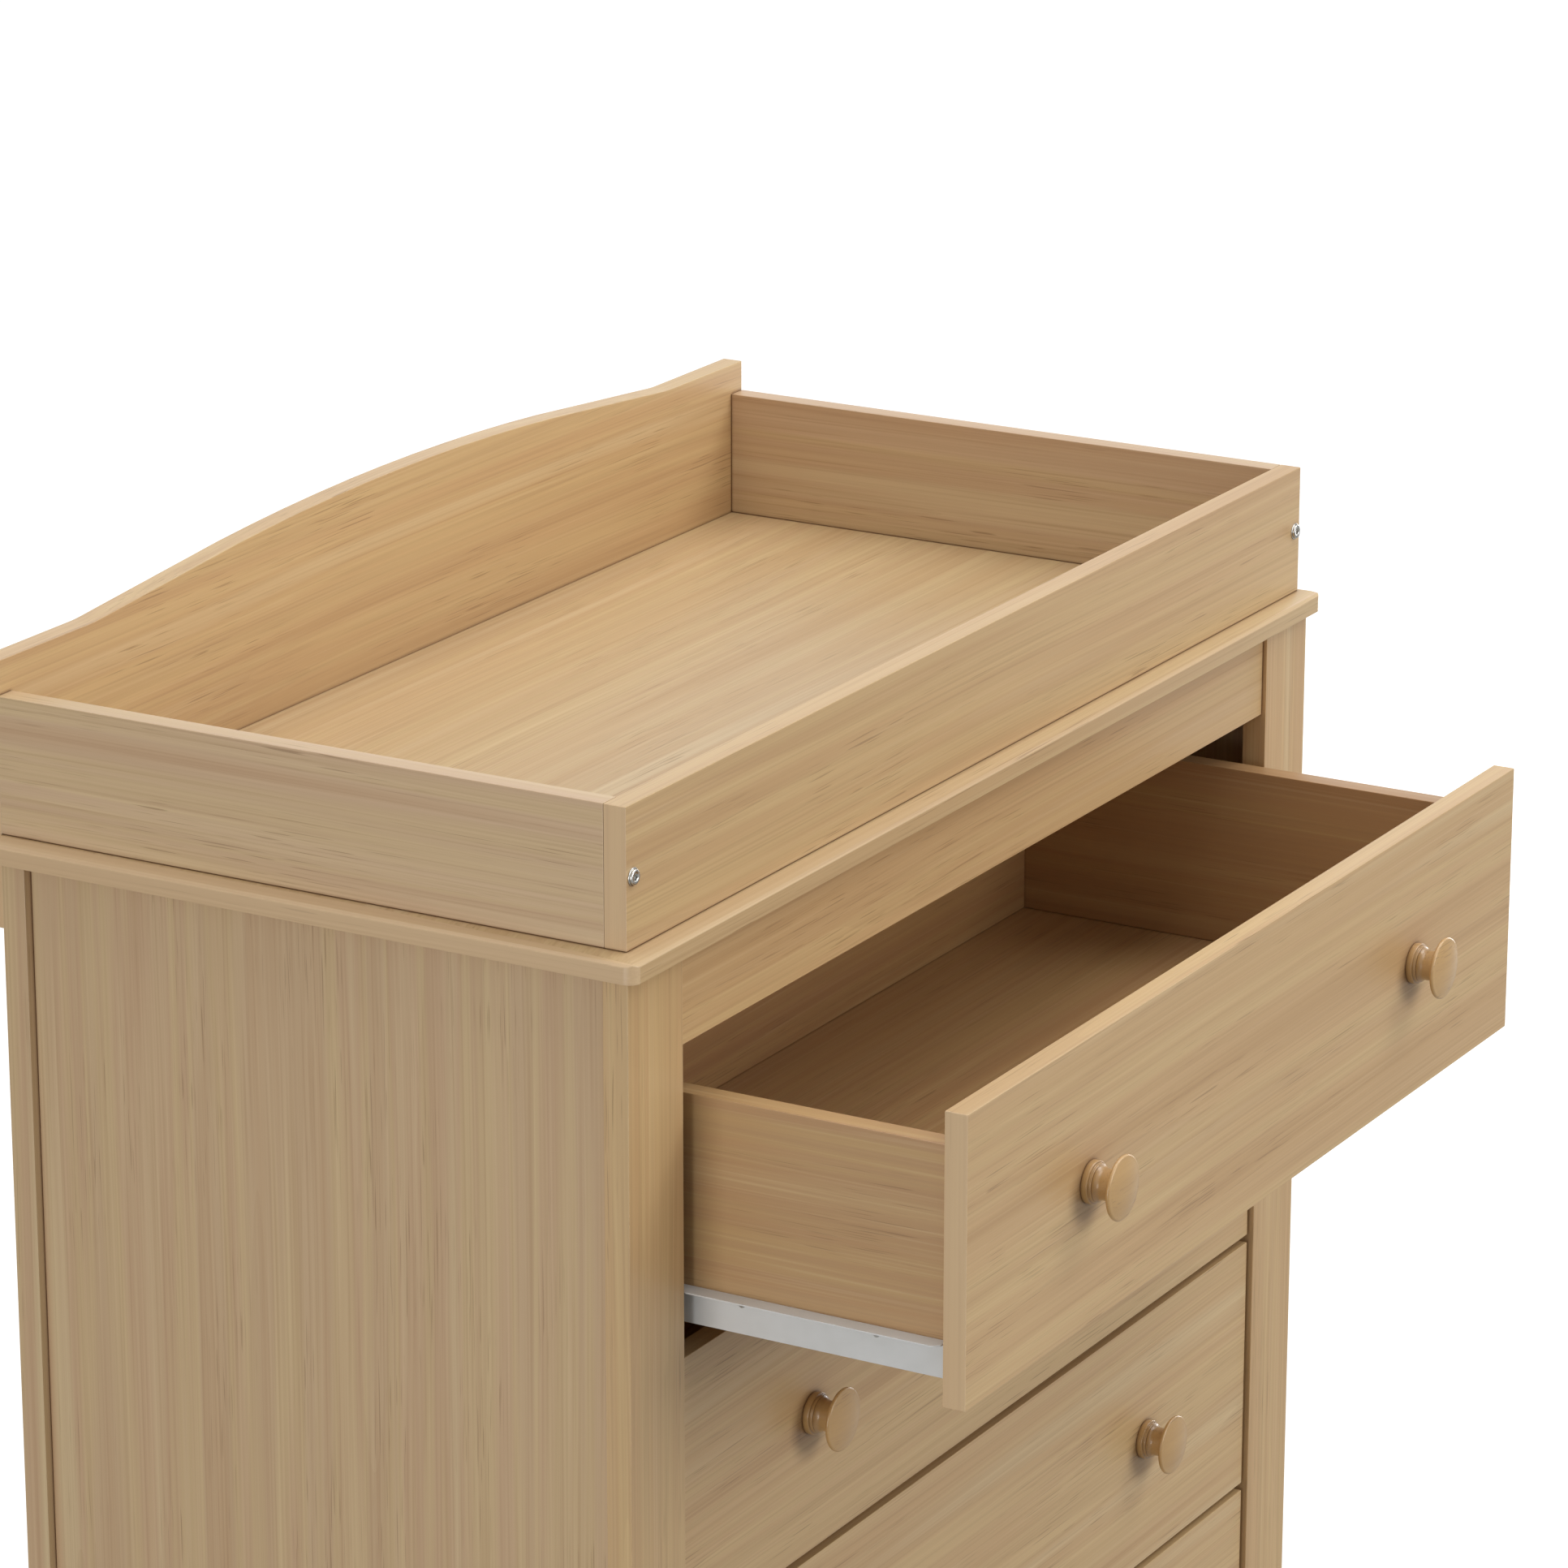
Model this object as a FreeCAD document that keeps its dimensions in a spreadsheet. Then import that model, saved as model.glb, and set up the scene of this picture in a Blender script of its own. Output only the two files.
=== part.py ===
import FreeCAD, Part
import math
import os
import Sketcher

# A four-drawer dresser with a lift-off changing tray on top.
# Millimetres, +Z up, the drawers open towards -Y, and X = 0 is the middle of the width.
# Y = 0 is the middle of the whole depth, from the knobs of the open top drawer to the heads of
# the screws behind the tray.

DRIVING = {
    # The case
    "case_width": 892.0,
    "case_depth": 440.0,
    "case_height": 940.0,
    "foot_height": 59.6,
    "stile_width": 61.0,
    "stile_thick": 17.0,
    "panel_thick": 15.0,
    "panel_recess": 6.5,
    "rail_thick": 18.0,
    "front_recess": 3.0,
    "apron_height": 59.0,
    "bottom_rail_height": 50.0,
    "back_rail_height": 90.0,
    "board_thick": 3.0,
    "board_inset": 8.0,
    "cleat_height": 32.0,
    # The top panel
    "top_thick": 15.0,
    "top_side_lip": 6.8,
    "top_front_lip": 8.5,
    "top_round_width": 14.0,
    "top_round_drop": 4.5,
    "top_corner_radius": 8.0,
    # The changing tray
    "tray_width": 880.0,
    "tray_setback": 4.2,
    "tray_thick": 15.0,
    "tray_height": 86.5,
    "shoulder_height": 107.5,
    "shoulder_length": 100.0,
    "arch_start": 215.0,
    "arch_start_rise": 10.2,
    "arch_rise": 20.2,
    "kink_radius": 120.0,
    "tray_drop": 60.0,
    "fixing_spacing": 600.0,
    # The drawers
    "apron_gap": 8.0,
    "drawer_gap": 5.5,
    "side_gap": 3.5,
    "front_thick": 15.0,
    "box_side_thick": 15.0,
    "box_back_thick": 12.0,
    "box_length": 350.0,
    "box_top_drop": 24.4,
    "box_bottom_rise": 15.0,
    "bottom_thick": 4.0,
    "bottom_rise": 13.0,
    "groove_depth": 6.0,
    "groove_play": 0.2,
    "top_drawer_open": 188.0,
    "box_overlap": 90.0,
    # The knobs
    "knob_spacing": 456.0,
    "knob_length": 24.5,
    "knob_base_dia": 26.8,
    "knob_neck_dia": 19.4,
    "knob_head_dia": 40.4,
    "knob_foot_height": 4.6,
    "knob_cove_height": 4.4,
    "knob_rim_height": 2.8,
    "knob_dome_rise": 2.0,
    "knob_crown_dia": 28.0,
    # The roller runners
    "runner_space": 13.0,
    "steel_thick": 1.0,
    "web_height": 23.5,
    "ledge_width": 11.5,
    "ledge_chamfer": 4.0,
    "foot_flange": 12.0,
    "channel_height": 20.4,
    "channel_depth": 10.5,
    "channel_gap": 2.4,
    "roller_cutout": 26.0,
    "front_roller_inset": 12.0,
    "rear_roller_inset": 12.0,
    "front_roller_dia": 19.0,
    "rear_roller_dia": 20.0,
    "roller_width": 6.2,
    "roller_play": 0.3,
    "roller_wall_gap": 0.5,
    "axle_dia": 5.0,
    "axle_play": 0.08,
    "runner_setback": 2.0,
    "stop_drop": 3.5,
    # The tray's screws and the holes for a wall strap
    "screw_dia": 7.0,
    "screw_head_dia": 12.0,
    "screw_head_height": 3.2,
    "socket_width": 4.0,
    "socket_depth": 2.2,
    "screw_play": 0.1,
    "corner_screw_length": 50.0,
    "fixing_screw_length": 32.0,
    "pilot_dia": 3.0,
    "pilot_depth": 12.0,
    "pilot_spacing": 500.0,
    "pilot_height": 857.0,
}

DRAWERS = 4
AXES = {"X": FreeCAD.Vector(1, 0, 0), "Y": FreeCAD.Vector(0, 1, 0), "Z": FreeCAD.Vector(0, 0, 1)}
ZERO = "0"


class Size:
    """A length, kept both as a number and as the sheet formula that gives it."""

    def __init__(self, value, formula):
        self.value = float(value)
        self.formula = formula

    def __add__(self, other):
        other = as_size(other)
        return Size(self.value + other.value, f"({self.formula} + {other.formula})")

    def __sub__(self, other):
        other = as_size(other)
        return Size(self.value - other.value, f"({self.formula} - {other.formula})")

    def __mul__(self, factor):
        return Size(self.value * factor, f"({self.formula} * {factor!r})")

    def __truediv__(self, divisor):
        return Size(self.value / divisor, f"({self.formula} / {divisor!r})")

    def __neg__(self):
        return Size(-self.value, f"(0 - {self.formula})")


def as_size(number):
    if isinstance(number, Size):
        return number
    return Size(number, ZERO if number == 0 else repr(number))


class Named:
    """Holds the driving sizes under their own names."""


doc = FreeCAD.newDocument("changing_dresser")
sheet = doc.addObject("Spreadsheet::Sheet", "sizes")
dim = Named()
for row, (name, value) in enumerate(DRIVING.items(), start=1):
    sheet.set(f"A{row}", name)
    sheet.set(f"B{row}", str(value))
    sheet.setAlias(f"B{row}", name)
    setattr(dim, name, Size(value, f"sizes.{name}"))
doc.recompute()

finished = []


# ---------------------------------------------------------------- helpers

def bind(item, target, size):
    """Ties one property of a piece to the sheet."""
    item.setExpression(target, as_size(size).formula)


def place(item, x, y, z, rotation=None):
    """Puts a piece at a point worked out from the sheet."""
    point = [as_size(value) for value in (x, y, z)]
    turn = rotation or FreeCAD.Rotation()
    item.Placement = FreeCAD.Placement(FreeCAD.Vector(*[value.value for value in point]), turn)
    for axis, value in zip("xyz", point):
        bind(item, f"Placement.Base.{axis}", value)


def finish(item, label):
    """Marks a piece as a sub-part of its own."""
    item.Label = label
    finished.append(item)
    return item


def block(x, y, z, name="block"):
    """A square-edged board between two planes along each axis."""
    item = doc.addObject("Part::Box", name)
    spans = [(as_size(low), as_size(high)) for low, high in (x, y, z)]
    for side, (low, high) in zip(("Length", "Width", "Height"), spans):
        bind(item, side, high - low)
    place(item, *[low for low, high in spans])
    return item


def rod(axis, start, length, diameter, name="rod"):
    """A round bar or drill along one axis, from its start point."""
    item = doc.addObject("Part::Cylinder", name)
    bind(item, "Radius", as_size(diameter) / 2)
    bind(item, "Height", length)
    place(item, *start, rotation=FreeCAD.Rotation(AXES["Z"], AXES[axis]))
    return item


def joined(pieces, name="joined"):
    item = doc.addObject("Part::MultiFuse", name)
    item.Shapes = pieces
    return item


def without(base, tools, name="cut"):
    """The base with every tool taken out of it."""
    item = doc.addObject("Part::Cut", name)
    item.Base = base
    item.Tool = tools[0] if len(tools) == 1 else grouped(tools, "tools")
    return item


def grouped(pieces, name="group"):
    item = doc.addObject("Part::Compound", name)
    item.Links = pieces
    return item


def mirrored(source, name="mirrored"):
    """The same piece on the other side of the width's middle."""
    item = doc.addObject("Part::Mirroring", name)
    item.Source = source
    item.Base = FreeCAD.Vector(0, 0, 0)
    item.Normal = AXES["X"]
    return item


def both_sides(pieces, name="pair"):
    return grouped(pieces + [mirrored(piece) for piece in pieces], name)


def new_body(name):
    return doc.addObject("PartDesign::Body", name)


def plane_of(body, role):
    for feature in body.Origin.OriginFeatures:
        if feature.Role == role:
            return feature
    raise ValueError(role)


def outline(body, plane, corners, arcs=None, name="outline"):
    """A closed outline through the corners, tied to the sheet corner by corner.

    arcs gives the radius of each stretch that is round, by the number of the corner it leaves;
    a negative radius bulges to the right of the direction of travel.
    """
    arcs = arcs or {}
    sketch = body.newObject("Sketcher::SketchObject", name)
    sketch.AttachmentSupport = (plane_of(body, plane), [""])
    sketch.MapMode = "FlatFace"
    points = [(as_size(across), as_size(up)) for across, up in corners]
    spots = [FreeCAD.Vector(across.value, up.value, 0) for across, up in points]
    starts = []
    for number, spot in enumerate(spots):
        following = spots[(number + 1) % len(spots)]
        if number in arcs:
            starts.append(add_arc(sketch, spot, following, arcs[number]))
        else:
            line = sketch.addGeometry(Part.LineSegment(spot, following), False)
            starts.append((line, 1, 2))
    for number, (edge, start, end) in enumerate(starts):
        next_edge, next_start, next_end = starts[(number + 1) % len(starts)]
        sketch.addConstraint(Sketcher.Constraint("Coincident", edge, end, next_edge, next_start))
    for (edge, start, end), (across, up) in zip(starts, points):
        fix_point(sketch, edge, start, "DistanceX", across, -2)
        fix_point(sketch, edge, start, "DistanceY", up, -1)
    return sketch


def add_arc(sketch, first, last, radius):
    """An arc between two points; a positive radius curves round to the left of the travel."""
    radius_now = abs(radius.value)
    chord = last - first
    middle = (first + last) * 0.5
    left = FreeCAD.Vector(-chord.y, chord.x, 0).normalize()
    rise = math.sqrt(max(radius_now ** 2 - (chord.Length / 2) ** 2, 0))
    anticlockwise = radius.value > 0
    centre = middle + left * (rise if anticlockwise else -rise)
    begin, finish_point = (first, last) if anticlockwise else (last, first)
    angles = [math.atan2(spot.y - centre.y, spot.x - centre.x) for spot in (begin, finish_point)]
    if angles[1] < angles[0]:
        angles[1] += 2 * math.pi
    circle = Part.Circle(centre, AXES["Z"], radius_now)
    edge = sketch.addGeometry(Part.ArcOfCircle(circle, *angles), False)
    number = sketch.addConstraint(Sketcher.Constraint("Radius", edge, radius_now))
    shown = radius.formula if anticlockwise else (-radius).formula
    sketch.setExpression(f"Constraints[{number}]", shown)
    return (edge, 1, 2) if anticlockwise else (edge, 2, 1)


def fix_point(sketch, edge, end, kind, size, axis):
    """Holds one coordinate of a point, on the axis itself where it is zero."""
    if size.formula == ZERO:
        sketch.addConstraint(Sketcher.Constraint("PointOnObject", edge, end, axis))
        return
    number = sketch.addConstraint(Sketcher.Constraint(kind, edge, end, size.value))
    sketch.setExpression(f"Constraints[{number}]", size.formula)


def arc_radius(half_chord, rise):
    """Radius of the arc that rises by this much over twice the half chord."""
    value = (half_chord.value ** 2 + rise.value ** 2) / (2 * rise.value)
    across, up = half_chord.formula, rise.formula
    return Size(value, f"(({across}^2 + {up}^2) / (2 * {up}))")


def pad(body, sketch, length, name="pad"):
    item = body.newObject("PartDesign::Pad", name)
    item.Profile = sketch
    bind(item, "Length", length)
    return item


def revolve(body, sketch, axis, name="turned"):
    """A full turn of the outline about the sketch's own H_Axis or V_Axis."""
    item = body.newObject("PartDesign::Revolution", name)
    item.Profile = sketch
    item.ReferenceAxis = (sketch, [axis])
    item.Angle = 360
    return item


def pocket_through(body, sketch, name="pocket"):
    item = body.newObject("PartDesign::Pocket", name)
    item.Profile = sketch
    item.Type = 1
    item.Midplane = True
    return item


# ---------------------------------------------------------------- levels shared by the pieces

half_case = dim.case_width / 2
half_tray = dim.tray_width / 2
front_overhang = dim.knob_length + dim.top_drawer_open - dim.front_recess
tray_overhang = dim.board_thick + dim.tray_thick + dim.screw_head_height
overall_depth = front_overhang + dim.case_depth + tray_overhang

case_front = front_overhang - overall_depth / 2
case_back = case_front + dim.case_depth
board_back = case_back + dim.board_thick
front_face = case_front + dim.front_recess
stile_inside = half_case - dim.stile_width
panel_outside = half_case - dim.panel_recess
panel_inside = panel_outside - dim.panel_thick
behind_front_stile = case_front + dim.stile_thick
before_back_stile = case_back - dim.stile_thick

top_underside = dim.case_height - dim.top_thick
apron_bottom = top_underside - dim.apron_height
rail_top = dim.foot_height + dim.bottom_rail_height

drawer_space = apron_bottom - dim.apron_gap - rail_top - dim.drawer_gap
front_height = (drawer_space - dim.drawer_gap * (DRAWERS - 1)) / DRAWERS
front_half_width = stile_inside - dim.side_gap
drawer_travel = dim.box_length - dim.box_overlap

tray_front = case_front + dim.tray_setback
tray_front_inside = tray_front + dim.tray_thick
tray_back = board_back + dim.tray_thick
tray_top = dim.case_height + dim.tray_height
corner_height = dim.case_height + dim.tray_height / 2
corner_across = half_tray - dim.tray_thick / 2
screw_hole = dim.screw_dia + dim.screw_play * 2
fixing_height = dim.case_height - dim.tray_drop / 2
fixing_depth = dim.fixing_screw_length - dim.tray_thick - dim.board_thick + dim.screw_play
fixing_across = dim.fixing_spacing / 2
pilot_across = dim.pilot_spacing / 2


def level_of(number):
    """Height of the top edge of a drawer front, counted from the top drawer down."""
    return apron_bottom - dim.apron_gap - (front_height + dim.drawer_gap) * number


def ledge_level(number):
    """Height of the underside of a drawer runner's ledge, which rides on the front roller."""
    box_underside = level_of(number) - front_height + dim.box_bottom_rise
    return box_underside - dim.steel_thick + dim.web_height - dim.steel_thick


# ---------------------------------------------------------------- the case

def make_stiles():
    """Four upright boards that stand on the floor and carry the case."""
    depths = {"front": (case_front, behind_front_stile), "back": (before_back_stile, case_back)}
    for end, depth in depths.items():
        right = block((stile_inside, half_case), depth, (as_size(0), top_underside), f"{end}_stile")
        finish(mirrored(right), f"{end}_stile_left")
        finish(right, f"{end}_stile_right")


def make_side_panels():
    """The upright panels between the front and back stiles, set in from their outer faces."""
    depth = (behind_front_stile, before_back_stile)
    right = block((panel_inside, panel_outside), depth, (dim.foot_height, top_underside), "side")
    finish(mirrored(right), "side_panel_left")
    finish(right, "side_panel_right")


def make_rails():
    """The apron over the drawers, the rail under them and the two rails at the back."""
    across = (-stile_inside, stile_inside)
    front = (front_face, front_face + dim.rail_thick)
    back = (case_back - dim.rail_thick, case_back)
    finish(block(across, front, (apron_bottom, top_underside)), "front_top_rail")
    finish(block(across, front, (dim.foot_height, rail_top)), "front_bottom_rail")
    finish(block(across, back, (dim.foot_height, rail_top)), "back_bottom_rail")

    upper = block(across, back, (top_underside - dim.back_rail_height, top_underside))
    holes = []
    for side in (1, -1):
        holes.append(rod("Y", (fixing_across * side, case_back - fixing_depth, fixing_height),
                         fixing_depth, screw_hole))
        start = (pilot_across * side, case_back - dim.pilot_depth, dim.pilot_height)
        holes.append(rod("Y", start, dim.pilot_depth, dim.pilot_dia))
    finish(without(upper, holes), "back_top_rail")


def make_back_board():
    """The thin board nailed over the back, with holes for the tray's screws and a wall strap."""
    edge = half_case - dim.board_inset
    board = block((-edge, edge), (case_back, board_back), (dim.foot_height, top_underside))
    holes = []
    for side in (1, -1):
        holes.append(rod("Y", (fixing_across * side, case_back, fixing_height),
                         dim.board_thick, screw_hole))
        holes.append(rod("Y", (pilot_across * side, case_back, dim.pilot_height),
                         dim.board_thick, dim.pilot_dia))
    finish(without(board, holes), "back_board")


def make_top_panel():
    """The top board: rounded front corners, and a wide shallow round along three edges."""
    edge = half_case + dim.top_side_lip
    front = case_front - dim.top_front_lip
    corner = dim.top_corner_radius
    body = new_body("top_panel")
    plan = outline(body, "XY_Plane", [
        (-edge, board_back),
        (-edge, front + corner),
        (-edge + corner, front),
        (edge - corner, front),
        (edge, front + corner),
        (edge, board_back),
    ], {1: corner, 3: corner})
    pad(body, plan, dim.top_thick)

    width = dim.top_round_width
    drop = dim.top_round_drop
    radius = arc_radius(width, drop)
    top = dim.top_thick
    above = top + drop
    front_round = outline(body, "YZ_Plane", [
        (front + width, top),
        (front, top - drop),
        (front - drop, top - drop),
        (front - drop, above),
        (front + width, above),
    ], {0: radius}, "front_round")
    pocket_through(body, front_round)
    for side in (1, -1):
        bulge = -radius if side == 1 else radius
        side_round = outline(body, "XZ_Plane", [
            ((edge - width) * side, top),
            (edge * side, top - drop),
            ((edge + drop) * side, top - drop),
            ((edge + drop) * side, above),
            ((edge - width) * side, above),
        ], {0: bulge}, "side_round")
        last = pocket_through(body, side_round)
    body.Tip = last
    place(body, 0, 0, top_underside)
    finish(body, "top_panel")


# ---------------------------------------------------------------- the changing tray

def make_tray_front():
    board = block((-half_tray, half_tray), (tray_front, tray_front_inside),
                  (dim.case_height, tray_top))
    holes = [rod("Y", (corner_across * side, tray_front, corner_height), dim.tray_thick, screw_hole)
             for side in (1, -1)]
    finish(without(board, holes), "tray_front")


def make_tray_sides():
    """The two short boards, bored at both ends for the screws."""
    board = block((half_tray - dim.tray_thick, half_tray), (tray_front_inside, board_back),
                  (dim.case_height, tray_top))
    depth = dim.corner_screw_length - dim.tray_thick + dim.screw_play
    holes = [rod("Y", (corner_across, start, corner_height), depth, screw_hole)
             for start in (tray_front_inside, board_back - depth)]
    right = without(board, holes)
    finish(mirrored(right), "tray_side_left")
    finish(right, "tray_side_right")


def make_tray_back():
    """The tall board behind the tray: level shoulders, a quick turn up and a long low arch."""
    shoulder = dim.case_height + dim.shoulder_height
    arch_end = shoulder + dim.arch_start_rise
    crest = shoulder + dim.arch_rise
    lower = dim.case_height - dim.tray_drop
    kink = half_tray - dim.shoulder_length
    start = half_tray - dim.arch_start
    climb = dim.arch_start_rise.value / (dim.arch_start - dim.shoulder_length).value
    slope = f"({dim.arch_start_rise.formula} / {(dim.arch_start - dim.shoulder_length).formula})"
    reach_value = dim.kink_radius.value * math.tan(math.atan(climb) / 2)
    reach = Size(reach_value, f"({dim.kink_radius.formula} * tan(atan({slope}) / 2))")
    turn_x = Size(reach.value * math.cos(math.atan(climb)),
                  f"({reach.formula} * cos(atan({slope})))")
    turn_z = Size(reach.value * math.sin(math.atan(climb)),
                  f"({reach.formula} * sin(atan({slope})))")
    rise = dim.arch_rise - dim.arch_start_rise
    radius = arc_radius(start, rise)
    body = new_body("arched_board")
    face = outline(body, "XZ_Plane", [
        (-half_tray, lower),
        (half_tray, lower),
        (half_tray, shoulder),
        (kink + reach, shoulder),
        (kink - turn_x, shoulder + turn_z),
        (start, arch_end),
        (0, crest),
        (-start, arch_end),
        (turn_x - kink, shoulder + turn_z),
        (-kink - reach, shoulder),
        (-half_tray, shoulder),
    ], {3: -dim.kink_radius, 5: radius, 6: radius, 8: -dim.kink_radius})
    pad(body, face, dim.tray_thick)
    place(body, 0, tray_back, 0)
    holes = []
    for side in (1, -1):
        for across, height in ((corner_across, corner_height), (fixing_across, fixing_height)):
            holes.append(rod("Y", (across * side, board_back, height), dim.tray_thick, screw_hole))
    finish(without(body, holes), "tray_back")


def connector_screw(across, seat, height, inward, length):
    """A furniture screw with a flat head and a hexagon socket, its head on the seat plane."""
    body = new_body("screw")
    shape = outline(body, "XY_Plane", [
        (0, -dim.screw_head_height),
        (dim.screw_head_dia / 2, -dim.screw_head_height),
        (dim.screw_head_dia / 2, 0),
        (dim.screw_dia / 2, 0),
        (dim.screw_dia / 2, length),
        (0, length),
    ])
    revolve(body, shape, "V_Axis")
    corner = dim.socket_width / math.sqrt(3)
    turns = [math.radians(60 * number) for number in range(6)]
    ring = [(corner * math.cos(turn), corner * math.sin(turn)) for turn in turns]
    socket = outline(body, "XZ_Plane", ring, name="socket")
    bind(socket, "AttachmentOffset.Base.z", dim.screw_head_height)
    recess = body.newObject("PartDesign::Pocket", "socket_pocket")
    recess.Profile = socket
    bind(recess, "Length", dim.socket_depth)
    body.Tip = recess
    place(body, across, seat, height, FreeCAD.Rotation(AXES["Z"], 0 if inward == 1 else 180))
    return body


def make_tray_screws():
    """A screw at each end of both long boards, and two from behind that hold the tray down."""
    corner = dim.corner_screw_length
    screws = [
        connector_screw(corner_across, tray_front, corner_height, 1, corner),
        connector_screw(corner_across, tray_back, corner_height, -1, corner),
        connector_screw(fixing_across, tray_back, fixing_height, -1, dim.fixing_screw_length),
    ]
    finish(both_sides(screws), "tray_screws")


# ---------------------------------------------------------------- the roller runners

def runner_profile(name, corners, rear, length, number):
    """A pressed steel section, drawn as seen from the front and pulled forward from its rear."""
    body = new_body(name)
    section = outline(body, "XZ_Plane", corners, name="section")
    pad(body, section, length)
    place(body, 0, rear, ledge_level(number))
    return body


def roller(axis_y, axis_z, inner, diameter):
    """A nylon wheel with a bore for its axle."""
    bore = dim.axle_dia / 2 + dim.axle_play
    wheel = diameter / 2
    body = new_body("roller")
    section = outline(body, "XY_Plane", [
        (0, bore),
        (dim.roller_width, bore),
        (dim.roller_width, wheel),
        (0, wheel),
    ], name="wheel_section")
    revolve(body, section, "H_Axis")
    place(body, inner, axis_y, axis_z)
    return body


box_outside = stile_inside - dim.runner_space
member_web = box_outside + dim.steel_thick
ledge_edge = box_outside + dim.ledge_width
channel_web = stile_inside - dim.steel_thick
front_roller_start = channel_web - dim.roller_wall_gap - dim.roller_width
rear_roller_start = member_web + dim.roller_wall_gap
axle_length = dim.roller_wall_gap + dim.roller_width + dim.roller_play


def front_axle_height(number):
    return ledge_level(number) - dim.roller_play - dim.front_roller_dia / 2


def rear_axle_height(number):
    return ledge_level(number) - dim.channel_gap - dim.steel_thick - dim.channel_height / 2


runner_front = front_face + dim.front_thick + dim.runner_setback
front_axle_depth = runner_front + dim.front_roller_inset


def make_cleats():
    """The battens between the stiles that the fixed runners are screwed to."""
    cleats = []
    for number in range(DRAWERS):
        middle = rear_axle_height(number)
        cleats.append(block((stile_inside, panel_inside), (behind_front_stile, before_back_stile),
                            (middle - dim.cleat_height / 2, middle + dim.cleat_height / 2)))
    finish(both_sides(cleats), "runner_cleats")


def make_cabinet_runner(number):
    """The fixed channel: two flanges round the rear roller and an axle for the front one."""
    steel = dim.steel_thick
    roof = -dim.channel_gap
    floor = roof - steel - dim.channel_height
    tip = stile_inside - dim.channel_depth
    channel = runner_profile("channel", [
        (stile_inside, floor - steel),
        (stile_inside, roof),
        (tip, roof),
        (tip, roof - steel),
        (channel_web, roof - steel),
        (channel_web, floor),
        (tip, floor),
        (tip, floor - steel),
    ], runner_front + dim.box_length, dim.box_length, number)
    level = ledge_level(number)
    cutout = block((tip, channel_web), (runner_front, runner_front + dim.roller_cutout),
                   (level + roof - steel, level + roof))
    pin = rod("X", (channel_web - axle_length, front_axle_depth, front_axle_height(number)),
              axle_length, dim.axle_dia)
    drop = dim.stop_drop
    reach = Size(math.sqrt(dim.rear_roller_dia.value * drop.value - drop.value ** 2),
                 f"sqrt({dim.rear_roller_dia.formula} * {drop.formula} - {drop.formula}^2)")
    rear_axle = front_face + dim.front_thick + dim.box_length - dim.rear_roller_inset
    stop_back = rear_axle - drawer_travel - reach - dim.roller_play
    stop = block((tip, channel_web), (stop_back - steel, stop_back),
                 (level + roof - steel - drop, level + roof - steel))
    return joined([without(channel, [cutout]), stop, pin])


def make_cabinet_runners():
    runners = [make_cabinet_runner(number) for number in range(DRAWERS)]
    finish(both_sides(runners), "cabinet_runners")


# ---------------------------------------------------------------- the drawers

def turned_knob(across, face, height):
    """A wooden knob turned in one piece: a drum foot, a slim neck and a thin crowned head."""
    foot = dim.knob_base_dia / 2
    neck = dim.knob_neck_dia / 2
    head = dim.knob_head_dia / 2
    crown = dim.knob_length
    rim_top = crown - dim.knob_dome_rise
    head_back = rim_top - dim.knob_rim_height
    body = new_body("knob")
    section = outline(body, "XY_Plane", [
        (0, 0),
        (foot, 0),
        (foot, dim.knob_foot_height),
        (neck, dim.knob_foot_height + dim.knob_cove_height),
        (neck, head_back),
        (head, head_back),
        (head, rim_top),
        (dim.knob_crown_dia / 2, crown),
        (0, crown),
    ], name="knob_section")
    revolve(body, section, "V_Axis")
    place(body, across, face, height, FreeCAD.Rotation(AXES["Z"], 180))
    return body


def make_drawer(number, face):
    """One drawer: a full-width front on a grooved box, two knobs and a runner on each side."""
    name = f"drawer_{number + 1}"
    top = level_of(number)
    bottom = top - front_height
    back = face + dim.front_thick
    rear = back + dim.box_length
    box_top = top - dim.box_top_drop
    box_bottom = bottom + dim.box_bottom_rise
    inside = box_outside - dim.box_side_thick
    knob_across = dim.knob_spacing / 2
    knob_height = top - front_height / 2

    floor_low = box_bottom + dim.bottom_rise
    groove_z = (floor_low - dim.groove_play / 2,
                floor_low + dim.bottom_thick + dim.groove_play / 2)
    groove_x = inside + dim.groove_depth
    groove_front = back - dim.groove_depth
    groove_rear = rear - dim.box_back_thick + dim.groove_depth
    groove = block((-groove_x, groove_x), (groove_front, groove_rear), groove_z, "groove")

    board = block((-front_half_width, front_half_width), (face, back), (bottom, top))
    finish(without(board, [groove]), f"{name}_front")

    right = without(block((inside, box_outside), (back, rear), (box_bottom, box_top)), [groove])
    finish(mirrored(right), f"{name}_side_left")
    finish(right, f"{name}_side_right")

    rear_board = block((-inside, inside), (rear - dim.box_back_thick, rear), (box_bottom, box_top))
    finish(without(rear_board, [groove]), f"{name}_back")

    play = dim.groove_play
    floor = block((play - groove_x, groove_x - play), (groove_front + play, groove_rear - play),
                  (floor_low, floor_low + dim.bottom_thick))
    finish(floor, f"{name}_bottom")

    finish(both_sides([turned_knob(knob_across, face, knob_height)]), f"{name}_knobs")
    finish(both_sides([make_drawer_runner(number, back)]), f"{name}_runners")

    rear_axle = back + dim.box_length - dim.rear_roller_inset
    rollers = roller(rear_axle, rear_axle_height(number), rear_roller_start, dim.rear_roller_dia)
    finish(both_sides([rollers]), f"{name}_rear_rollers")
    rollers = roller(front_axle_depth, front_axle_height(number), front_roller_start,
                     dim.front_roller_dia)
    finish(both_sides([rollers]), f"{name}_front_rollers")


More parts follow.
